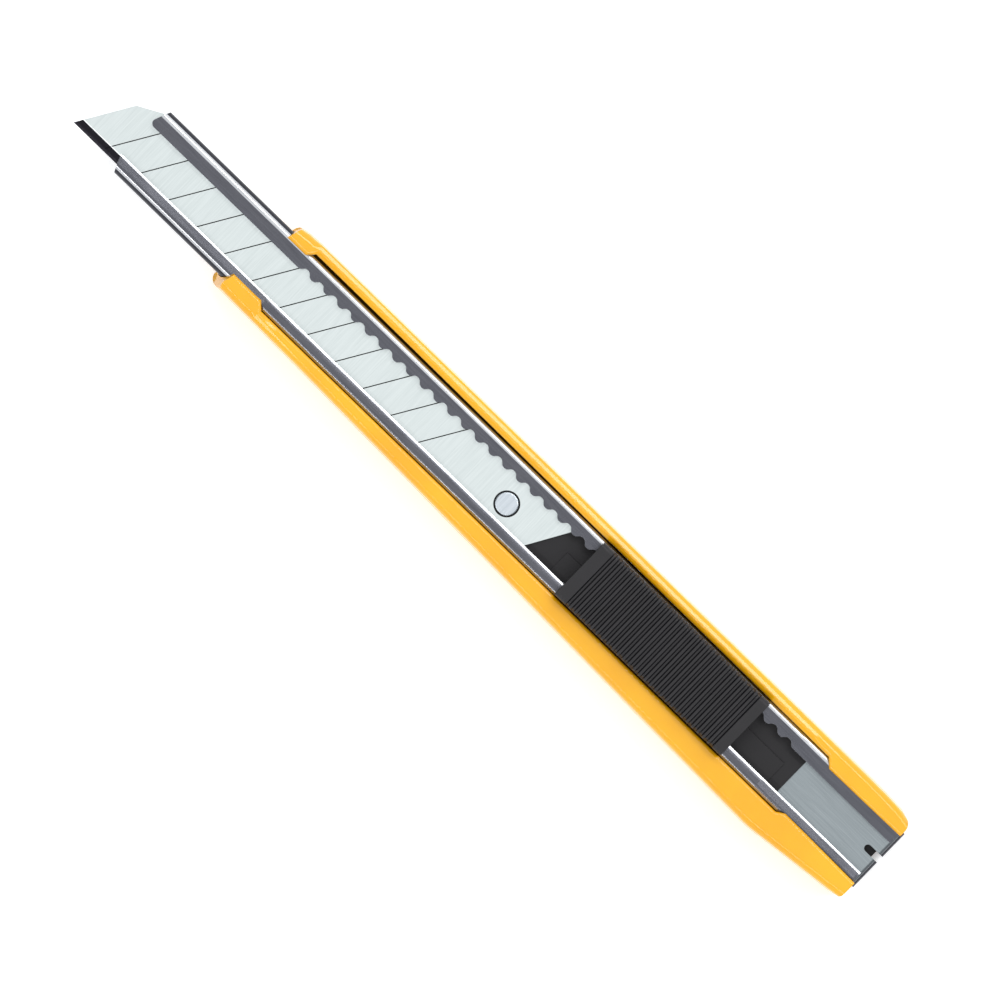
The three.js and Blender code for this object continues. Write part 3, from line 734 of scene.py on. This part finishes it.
use_modifier(channel, "ARRAY", count=CLICK_COUNT, use_relative_offset=False, use_constant_offset=True,
             constant_offset_displace=(-CLICK_PITCH * MM, 0, 0), use_merge_vertices=True,
             merge_threshold=0.001 * MM)
print("wavy stretch:", CLICK_COUNT, "clicks of", CLICK_PITCH, "mm,", len(channel.data.polygons), "faces")

# %% [markdown]
# The mouth slopes back on both sides from the lips, which two slanted cuts make; the wavy lip's
# front corner is then rounded. At the tail the sides stop, and the bed runs on, widens, and turns
# down over the end of the handle with a slot up its middle.

# %% Extrude the plain ends and shape the mouth
bpy.ops.object.mode_set(mode="EDIT")
pick(lambda p: near(p.x, CLICK_START), "EDGE")
extrude(x=channel_high.x - CLICK_START)
click_end = CLICK_START - CLICK_COUNT * CLICK_PITCH
side_end = channel_low.x + 0.85      # where the rolled sides stop
bend_start = channel_low.x + BEND + SHEET + BEND_LEAD
for start, end in ((click_end, bend_start + 0.3), (bend_start + 0.3, bend_start), (bend_start, side_end)):
    pick(lambda p: near(p.x, start), "EDGE")
    extrude(x=end - start)
front = channel_high.x
cut_across((front, AXIS_Y - 3.1, 0), (1, -0.38, 0), drop=True, fill=False)
cut_across((front - 0.02, AXIS_Y + PLAIN_LIP, 0), (1, 0.42, 0), drop=True, fill=False)
bpy.ops.mesh.select_all(action="SELECT")
bpy.ops.mesh.remove_doubles(threshold=0.03 * MM)
pick(lambda p: p.x > front - 1 and near(p.y, AXIS_Y - WAVY_LIP, 0.05) and p.z > ROLL_Z)
bpy.ops.mesh.bevel(offset=0.65 * MM, segments=6, affect="VERTICES")
print("sides run from x =", round(side_end, 2), "to", round(front, 2))

# %% Bend the bed down over the handle's tail
pick(lambda p: p.x < bend_start and p.z < CHANNEL_BOTTOM + 0.75, "FACE")
bpy.ops.mesh.delete(type="FACE")
pick(lambda p: near(p.x, bend_start) and near(p.z, CHANNEL_BOTTOM) and near(p.y, AXIS_Y, ROLL_Y), "EDGE")
extrude(x=-BEND_LEAD)
widen = (FLANGE_EDGE - FLANGE_BACK) / (2 * ROLL_Y)
bpy.ops.transform.resize(value=(1, widen, 1),
                         center_override=Vector((bend_start, AXIS_Y, CHANNEL_BOTTOM)) * MM)
shift(y=(FLANGE_EDGE + FLANGE_BACK) / 2 - AXIS_Y)
bend = arc((bend_start - BEND_LEAD, CHANNEL_BOTTOM - BEND), BEND, 90, 180, 10)
for (x0, z0), (x1, z1) in zip(bend, bend[1:]):
    extrude(x=x1 - x0, z=z1 - z0)
extrude(z=channel_low.z - (CHANNEL_BOTTOM - BEND))
bpy.ops.object.mode_set(mode="OBJECT")
print("skin of the strip:", len(channel.data.polygons), "faces")

# %% [markdown]
# Solidify turns the skin into sheet, on its inner side, so the outer sizes stay. The slot is one
# long rounded cut through bed and bend together. The smoothing angle is small here, because the
# bevels of such thin sheet must not blend their shine into the flats beside them.

# %% Give the strip its thickness, slot its end and break its edges
outward(channel)
use_modifier(channel, "SOLIDIFY", thickness=SHEET * MM, offset=1.0, use_even_offset=True)
outward(channel)
SLOT_WIDTH = 1.0
SLOT_END = Vector((channel_low.x + 2.2, AXIS_Y + 0.05, CHANNEL_BOTTOM))   # middle of its round end
slot = round_cutter(SLOT_END, SLOT_WIDTH / 2, 4, 32)
pick(lambda p: p.x < SLOT_END.x - 0.01)
shift(x=-DEEP)
cut_away(channel, slot)
soften(channel, 0.08, 2, 50)
hand_over(channel, "knife_body", "blade_channel",
          [STAINLESS, LIP_REFLECTION_PAINT, BED_SHADE_PAINT, SIDE_REFLECTION_PAINT], 20)

# %% [markdown]
# One strip carries four finishes, and three of them are painted light and shade. Each face gets its
# finish by where it lies: painted dark on both lips for the dark room they mirror, a darker grey on the
# bed for the shade of its trough, and near black on the steep outer sides and the downturned end for the
# dark they mirror.

# %% Give each part of the strip its finish
SIDE_FROM = 4.9                      # outside this the strip is rolled side
BACK_LIP_TO, EDGE_LIP_TO = 4.15, 4.45   # the lips' flats end here
FLANGE_TO = 0.62                     # the downturned end, from the channel's tail
FINISH = {"painted_lip_reflection": 1, "painted_bed_shade": 2, "painted_side_reflection": 3}
for face in channel.data.polygons:
    along, across = face.center.x / MM - channel_low.x, face.center.y / MM - AXIS_Y
    high, up = face.center.z > ROLL_Z * MM, face.normal.z
    on_lip = -BACK_LIP_TO < across < 0 or PLAIN_LIP + LIP_SHINE < across < EDGE_LIP_TO
    # The downturned end and the outer rolled sides are painted near black, as the dark they mirror.
    if along < FLANGE_TO and up < 0.8 or high and abs(across) > SIDE_FROM:
        face.material_index = FINISH["painted_side_reflection"]
    # The lips' flats are painted dark, as the reflection of the dark room.
    elif high and up > 0.93 and on_lip:
        face.material_index = FINISH["painted_lip_reflection"]
    # The bed is painted a darker grey, as the shade of its trough.
    elif abs(across) < ROLL_Y and not high and up > 0.9:
        face.material_index = FINISH["painted_bed_shade"]
finishes = [face.material_index for face in channel.data.polygons]
print("faces of each finish:", [finishes.count(i) for i in range(4)])

# %% [markdown]
# ## The blade
#
# The blade is a strip 0.38 mm thick. Slanted bisects cut its tip, its clipped front corner and its tail.
# The cutting edge is ground from both faces to a main bevel and then a finer one. Each score line is
# three bisects close together with the middle one pressed down, so it is a real groove that would shine
# on one wall, and its slanted walls are painted dark as shade.

# %% Sizes of the blade
LEAN = math.tan(math.radians(31))
TAIL_LEAN = math.tan(math.radians(30))
SNAP_PITCH, SNAP_COUNT = 5.0, 12
SCORE_WIDTH, SCORE_DEPTH = 0.16, 0.1
CLIP_ACROSS, CLIP_ALONG = 1.75, 3.3                      # the clipped front corner
BEVEL_LINE, BEVEL, FINE_BEVEL = 1.24, 1.1, 0.36          # from the cutting edge
FINE_HALF, EDGE_HALF = 0.1, 0.012                        # half the thickness there and at the edge
tip = Vector((blade_high.x, blade_high.y, 0))
front_slant = Vector((1, -LEAN, 0))
clip_y = blade_low.y + CLIP_ACROSS
clip_start = Vector((tip.x - LEAN * (blade_high.y - clip_y), clip_y, 0))
middle_z = (blade_low.z + blade_high.z) / 2
pin_middle = Vector(((stud_low.x + stud_high.x) / 2, (stud_low.y + stud_high.y) / 2, middle_z))
print("blade", round(blade_high.y - blade_low.y, 2), "mm wide with", SNAP_COUNT, "score lines")

# %% Cut the blade from a strip
blade = begin_block("scored_blade", blade_low - Vector((3, 0, 0)), blade_high + Vector((3, 0, 0)))
cut_across(tip, front_slant, drop=True)
cut_across(clip_start, (CLIP_ACROSS, -CLIP_ALONG, 0), drop=True)
cut_across((blade_low.x, blade_low.y, 0), (-1, TAIL_LEAN, 0), drop=True)
for k in range(1, SNAP_COUNT + 1):
    for side in (-0.5, 0, 0.5):
        cut_across(tip - Vector((SNAP_PITCH * k + side * SCORE_WIDTH, 0, 0)), front_slant)
for width in (BEVEL_LINE, BEVEL, FINE_BEVEL):
    cut_across((0, blade_high.y - width, 0), (0, 1, 0))
bpy.ops.object.mode_set(mode="OBJECT")
print("blade cut into", len(blade.data.polygons), "faces")

# %% [markdown]
# The strip is still flat. Pressing the middle of each score line makes its groove, less deep where
# it meets the bevel, and pinching the last two lines along the cutting edge makes both bevels.

# %% Press the score lines and grind the edge
def on_score(p):
    """Whether a place lies on the middle line of a score."""
    back = (tip.x - p.x + LEAN * (p.y - tip.y)) / SNAP_PITCH
    return 0.5 < back < SNAP_COUNT + 0.5 and near(back, round(back), 0.002)


bpy.ops.object.mode_set(mode="EDIT")
pick(lambda p: on_score(p) and near(p.z, blade_high.z) and p.y < blade_high.y - BEVEL - 0.05)
shift(z=-SCORE_DEPTH)
pick(lambda p: on_score(p) and near(p.z, blade_high.z) and near(p.y, blade_high.y - BEVEL))
shift(z=-0.7 * SCORE_DEPTH)
for width, half_thickness in ((FINE_BEVEL, FINE_HALF), (0, EDGE_HALF)):
    for face in (blade_low.z, blade_high.z):
        pick(lambda p: near(p.y, blade_high.y - width) and near(p.z, face))
        shift(z=middle_z + math.copysign(half_thickness, face - middle_z) - face)
HOLE_RADIUS = 1.75
cut_away(blade, round_cutter(pin_middle, HOLE_RADIUS, 2, 96))
outward(blade)
hand_over(blade, "slider", "snap_off_blade",
          [BLADE_FLAT, BLADE_BEVEL_REFLECTION_PAINT, BLADE_SCORE_SHADE_PAINT, BLADE_LINE_HIGHLIGHT_PAINT], 5)
for face in blade.data.polygons:
    # The bevel's faces take the painted dark reflection.
    if face.center.y / MM > blade_high.y - BEVEL:
        face.material_index = 1
    # The band above the bevel takes the painted highlight.
    elif face.center.y / MM > blade_high.y - BEVEL_LINE and face.normal.z > 0.5:
        face.material_index = 3
    # The groove walls take the painted shade.
    elif 0.1 < face.normal.z < 0.95:             # the slanted walls of a groove
        face.material_index = 2

# %% [markdown]
# ## The carrier and its stud
#
# The carrier is a flat acetal plate with chamfered undersides. It steps up a little behind the
# blade, where the blade's tail butts against it, and a neck rises from it between the lips and
# presses into the grip. Slices first mark out the step and the neck on the plate's top, and then
# only those faces are extruded. The round seat for the stud is cut last.

# %% Sizes of the carrier
PLATE_TOP = blade_low.z - 0.02
STEP_BACK, STEP_EDGE, STEP_HEIGHT = -0.25, 4.2, 0.25     # the low step, from the channel's axis
NECK_BACK, NECK_EDGE = -0.2, 2.7                         # the neck between the lips
NECK_INSET = 2.15                                        # from each end of the grip
SEAT_RADIUS = 1.25
step_tail, step_front = carrier_low.x + 1.9, blade_low.x - 0.3
neck_tail, neck_front = grip_low.x + NECK_INSET, grip_high.x - NECK_INSET
print("step from x =", round(step_tail, 2), "to", round(step_front, 2))

# %% Make the carrier
plate = (carrier_high.y - carrier_low.y) / 2
outline = [(-plate + 0.8, carrier_low.z), (plate - 0.8, carrier_low.z), (plate, carrier_low.z + 0.6),
           (plate, PLATE_TOP - 0.25), (plate - 0.3, PLATE_TOP), (-plate + 0.3, PLATE_TOP),
           (-plate, PLATE_TOP - 0.25), (-plate, carrier_low.z + 0.6)]
carrier = trace("carrier_plate", [(carrier_low.x, AXIS_Y + y, z) for y, z in outline])
bpy.ops.mesh.select_all(action="SELECT")
extrude(x=carrier_high.x - carrier_low.x)
for x in (step_tail, neck_tail, neck_front, step_front):
    cut_across((x, 0, 0), (1, 0, 0))
for y in (STEP_BACK, NECK_BACK, NECK_EDGE, STEP_EDGE):
    cut_across((0, AXIS_Y + y, 0), (0, 1, 0))
pick(lambda p: near(p.z, PLATE_TOP) and step_tail < p.x < step_front
     and STEP_BACK < p.y - AXIS_Y < STEP_EDGE, "FACE")
extrude(z=STEP_HEIGHT)
pick(lambda p: near(p.z, PLATE_TOP + STEP_HEIGHT) and neck_tail < p.x < neck_front
     and NECK_BACK < p.y - AXIS_Y < NECK_EDGE, "FACE")
extrude(z=carrier_high.z - PLATE_TOP - STEP_HEIGHT)
bpy.ops.object.mode_set(mode="OBJECT")
outward(carrier)
soften(carrier, 0.07, 2, 35)
cut_away(carrier, round_cutter(Vector((pin_middle.x, pin_middle.y, 3.5)), SEAT_RADIUS, 4, 64))
outward(carrier)
hand_over(carrier, "slider", "blade_carrier", [CARRIER_BLACK], 35)

# %% [markdown]
# The stud is turned: a disc a little narrower than the blade's hole, with a fine ring and a slightly
# sunk face on top, and a narrower shank below that presses into the carrier.

# %% Turn the stud
RING, RING_WALL, SINK = 0.5, 0.12, 0.03
SHANK_SHARE = 0.7                    # the shank's width as a share of the head's
stud_middle = (stud_low + stud_high) / 2
stud = begin("turned_stud", bpy.ops.mesh.primitive_cylinder_add, stud_middle, vertices=96,
             radius=(stud_high.x - stud_low.x) / 2 * MM, depth=(stud_high.z - stud_low.z) * MM)
pick(lambda p: near(p.z, stud_high.z), "FACE")
bpy.ops.mesh.inset(thickness=RING * MM)
bpy.ops.mesh.inset(thickness=RING_WALL * MM)
shift(z=-SINK)
cut_across((0, 0, PLATE_TOP + 0.02), (0, 0, 1))
pick(lambda p: p.z < PLATE_TOP)
bpy.ops.transform.resize(value=(SHANK_SHARE, SHANK_SHARE, 1), center_override=stud_middle * MM)
bpy.ops.object.mode_set(mode="OBJECT")
outward(stud)
soften(stud, 0.16, 3, 50)
hand_over(stud, "slider", "blade_stud", [STUD_STEEL], 35)

# %% [markdown]
# ## The thumb grip
#
# The grip is a block with rounded top corners and 28 ribs across it. Its hoop section is traced
# once, then extruded along: crest, slope, groove, slope for every rib. The groove also draws the
# sides in, which lets the ribs wrap over the edges. Last, the top is hollowed along its length to
# the curve of a thumb.

# %% Sizes of the grip
RIB_COUNT = 28
RIB_DEPTH, RIB_WRAP = 0.4, 0.22
DOWN, GROOVE, UP, CREST = 0.15, 0.32, 0.13, 0.4     # shares of one rib's pitch
UNWRAP = 1.047                       # scaling back out starts from a narrower station
LAND, LAND_END = 1.5, 0.45           # the plain ends and the first step of each
HOLLOW, HOLLOW_FROM = 0.5, 1.8       # depth, and how far down from the top it reaches
CORNER, SIDE_FROM_TOP = 0.7, 1.6
rib_pitch = (grip_high.x - grip_low.x - 2 * LAND) / RIB_COUNT
grip_middle = (grip_low + grip_high) / 2
print("grip:", RIB_COUNT, "ribs every", round(rib_pitch, 3), "mm")

# %% Draw the grip's section and extrude it rib by rib
crown = arc((grip_high.y - CORNER, grip_high.z - CORNER), CORNER, 0, 90, 5)
crown += arc((grip_low.y + CORNER, grip_high.z - CORNER), CORNER, 90, 180, 5)
side_top = grip_high.z - SIDE_FROM_TOP
hoop = [(grip_low.y, grip_low.z), (grip_high.y, grip_low.z), (grip_high.y, side_top)]
hoop += crown + [(grip_low.y, side_top)]
grip = trace("ribbed_grip", [(grip_low.x, y, z) for y, z in hoop])
bpy.ops.mesh.select_all(action="SELECT")
extrude(x=LAND_END)
extrude(x=LAND - LAND_END)


def sink(depth, wrap):
    """Presses the station just extruded down and in, but only round its crown."""
    mesh = bmesh.from_edit_mesh(bpy.context.edit_object.data)
    front = max(v.co.x for v in mesh.verts) / MM
    high = grip_high.z - 1.2
    pick(lambda p: near(p.x, front) and p.z > high)
    width = grip_high.y - grip_low.y
    bpy.ops.transform.resize(value=(1, 1 - 2 * wrap / width, 1), center_override=grip_middle * MM)
    shift(z=-depth)
    pick(lambda p: near(p.x, front), "FACE")


for _ in range(RIB_COUNT):
    extrude(x=DOWN * rib_pitch)
    sink(RIB_DEPTH, RIB_WRAP)
    extrude(x=GROOVE * rib_pitch)
    extrude(x=UP * rib_pitch)
    sink(-RIB_DEPTH, -RIB_WRAP * UNWRAP)
    extrude(x=CREST * rib_pitch)
extrude(x=LAND - LAND_END)
extrude(x=LAND_END)
bpy.ops.object.mode_set(mode="OBJECT")
print("ribbed block:", len(grip.data.polygons), "faces")

# %% [markdown]
# The hollow is a formula and not an operator: every corner near the top goes down by a parabola
# along the length, and fades out over one millimetre of height so the sides stay straight. Below,
# a pocket takes the carrier's neck with 0.1 mm to spare all round.

# %% Hollow the crown, round the ends and open the pocket
half_length = (grip_high.x - grip_low.x) / 2
for vertex in grip.data.vertices:
    above = vertex.co.z / MM - grip_high.z + HOLLOW_FROM
    if above > 0:
        along = (vertex.co.x / MM - grip_middle.x) / half_length
        vertex.co.z -= HOLLOW * (1 - along ** 2) * min(above, 1) * MM
outward(grip)
soften(grip, 0.055, 2, 28)
spare = Vector((0.1, 0.1, 0))
neck_low = Vector((neck_tail, AXIS_Y + NECK_BACK, 0))
neck_high = Vector((neck_front, AXIS_Y + NECK_EDGE, carrier_high.z))
cut_away(grip, block_cutter(neck_low - spare, neck_high + spare))
outward(grip)
hand_over(grip, "slider", "thumb_grip", [GRIP_BLACK_AND_POCKET_SHADE], 35)

# %% [markdown]
# ## The click spring
#
# The click spring is a bent strip of hardened steel that hides under the grip. The measured part is
# already the whole shape, so it stays and only takes its steel.

# %% Finish the click spring
spring = bpy.data.objects["click_spring"]
spring.data.materials.clear()
spring.data.materials.append(SPRING_STEEL)
print("click spring:", len(spring.data.polygons), "faces, dressed in", SPRING_STEEL.name)

# %% [markdown]
# ## The floor
#
# The floor is a plain white panel, faintly lit from inside as a light table is, so the knife has no
# hard shadow. It lies a hair below the handle, because two faces in one plane would flicker where
# they meet.

# %% The floor
def floor_paint():
    material, tree, shader, place = new_finish("white_card")
    grain = add(tree, "ShaderNodeTexNoise", {"Scale": per_mm(0.8), "Detail": 2.0}, [("Vector", place)])
    tone = two_tone(tree, grain, 0.0, "#f6f6f6", 1.0, "#fafafa")
    tree.links.new(shader.inputs["Base Color"], tone.outputs["Color"])
    shader.inputs["Roughness"].default_value = 0.9
    shader.inputs["Emission Color"].default_value = colour("#ffffff")
    shader.inputs["Emission Strength"].default_value = 0.3
    return material


FLOOR_Z = cad_low.z / MM - 0.05
floor = begin("floor", bpy.ops.mesh.primitive_plane_add, (0, 0, FLOOR_Z), size=8)
bpy.ops.object.mode_set(mode="OBJECT")
floor.data.materials.append(floor_paint())
print("floor at z =", round(FLOOR_Z, 3), "mm")

# %% [markdown]
# ## The light
#
# Metal shows its lights, so they are placed by what each face should mirror. One softbox hangs at
# the zenith, so the flat blade mirrors it while the lips, which lean, mirror the darker room. On
# each side a narrow strip draws the fine lines along the rounded edges, and a wide low softbox
# fills the walls. The world is a quiet grey.

# %% The light
def softbox(name, width, length, distance, tilt, toward, watts, tone="#ffffff"):
    """A rectangle of light at a distance in metres, tilted from the zenith towards a bearing."""
    data = bpy.data.lights.new(name, "AREA")
    data.shape = "RECTANGLE"
    data.size, data.size_y = width, length
    data.energy = watts
    data.color = colour(tone)[:3]
    light = bpy.data.objects.new(name, data)
    bpy.context.scene.collection.objects.link(light)
    tilt, toward = math.radians(tilt), math.radians(toward)
    reach = math.sin(tilt)
    direction = Vector((reach * math.cos(toward), reach * math.sin(toward), math.cos(tilt)))
    light.location = direction * distance
    light.rotation_euler = direction.to_track_quat("Z", "Y").to_euler()
    light.visible_camera = False
    return light


softbox("overhead", 0.8, 0.8, 1.0, 0, 0, 1.7)
softbox("back_strip", 1.8, 0.16, 1.2, 31, -90, 6.5)
softbox("back_side", 1.6, 1.0, 1.2, 62, -90, 5.0)
softbox("edge_side", 1.6, 1.0, 1.2, 66, 90, 4.0)
softbox("edge_strip", 1.8, 0.14, 1.2, 32, 90, 4.2)

# %% The room
world = bpy.data.worlds.new("room")
bpy.context.scene.world = world
world.use_nodes = True
world.node_tree.nodes["Background"].inputs["Color"].default_value = colour("#e6e8ec")
world.node_tree.nodes["Background"].inputs["Strength"].default_value = 0.5
bpy.context.scene.view_settings.view_transform = "Standard"
print("view transform:", bpy.context.scene.view_settings.view_transform)

# %% [markdown]
# ## The measured size
#
# The measured model's size is printed once more; each piece was already drawn back into its measured box
# as it was handed over.

# %% Print the measured size
print("size in mm before:", [round(1000 * side, 3) for side in cad_high - cad_low])
